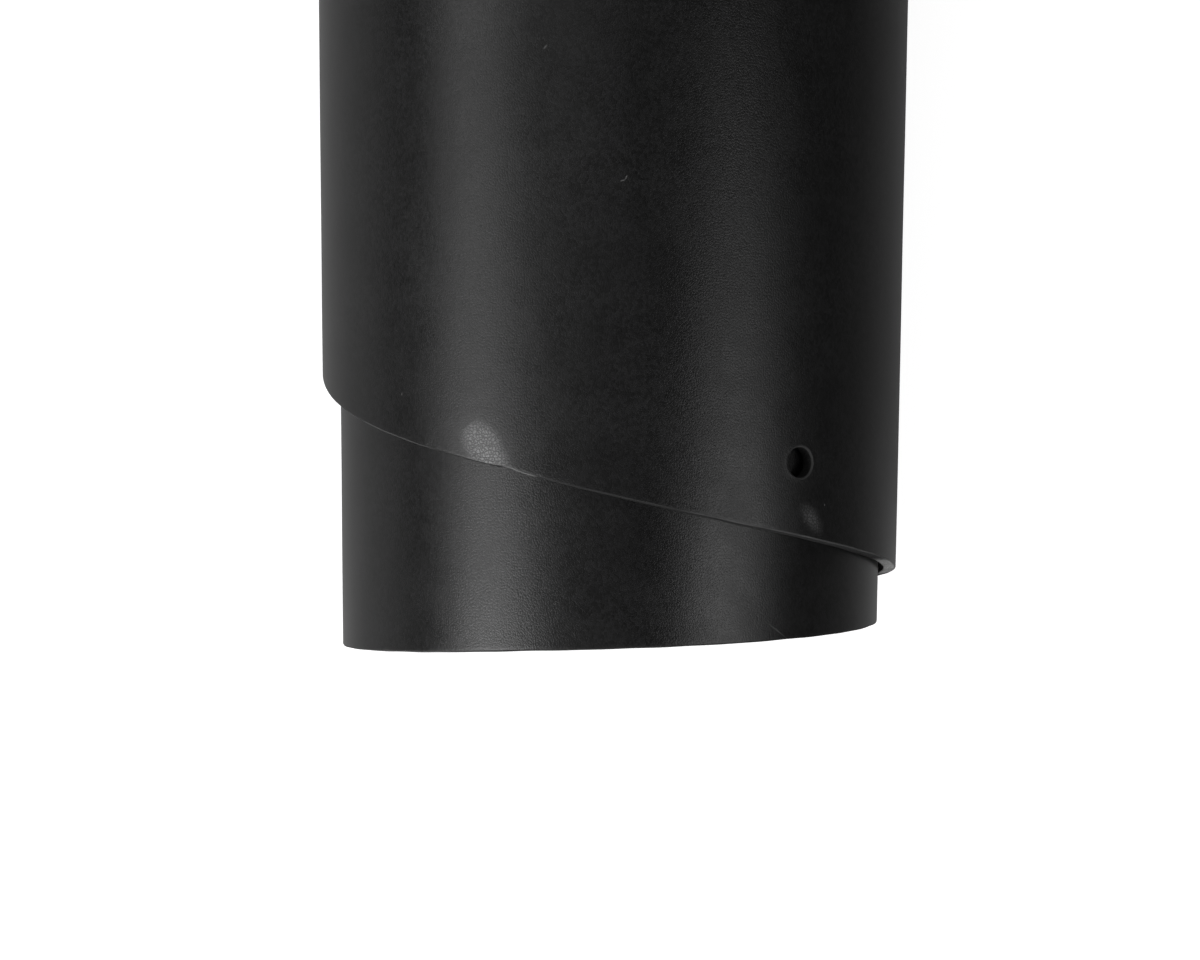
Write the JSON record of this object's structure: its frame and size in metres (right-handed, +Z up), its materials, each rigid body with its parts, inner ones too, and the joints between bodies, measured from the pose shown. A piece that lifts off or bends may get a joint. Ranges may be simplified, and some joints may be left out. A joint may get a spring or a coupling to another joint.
{
  "type": "leather hide",
  "caption": "Thick black leather hide rolled up grain side out, lying on its side, with a slanting natural edge and a punched hole.",
  "frame": {"origin": "on the flat spot that the roll rests on, halfway along the roll, under the middle of its core", "axes": "+Y along the roll from the hide's natural edge to its straight back edge, +Z up"},
  "size_m": [0.1854, 0.7002, 0.188],
  "materials": {
    "leather": "black, smooth, satin grain side with a fine grain; fibrous dark flesh side and cut edges"
  },
  "bodies": {
    "root": {"hide": "leather"}
  },
  "joints": []
}
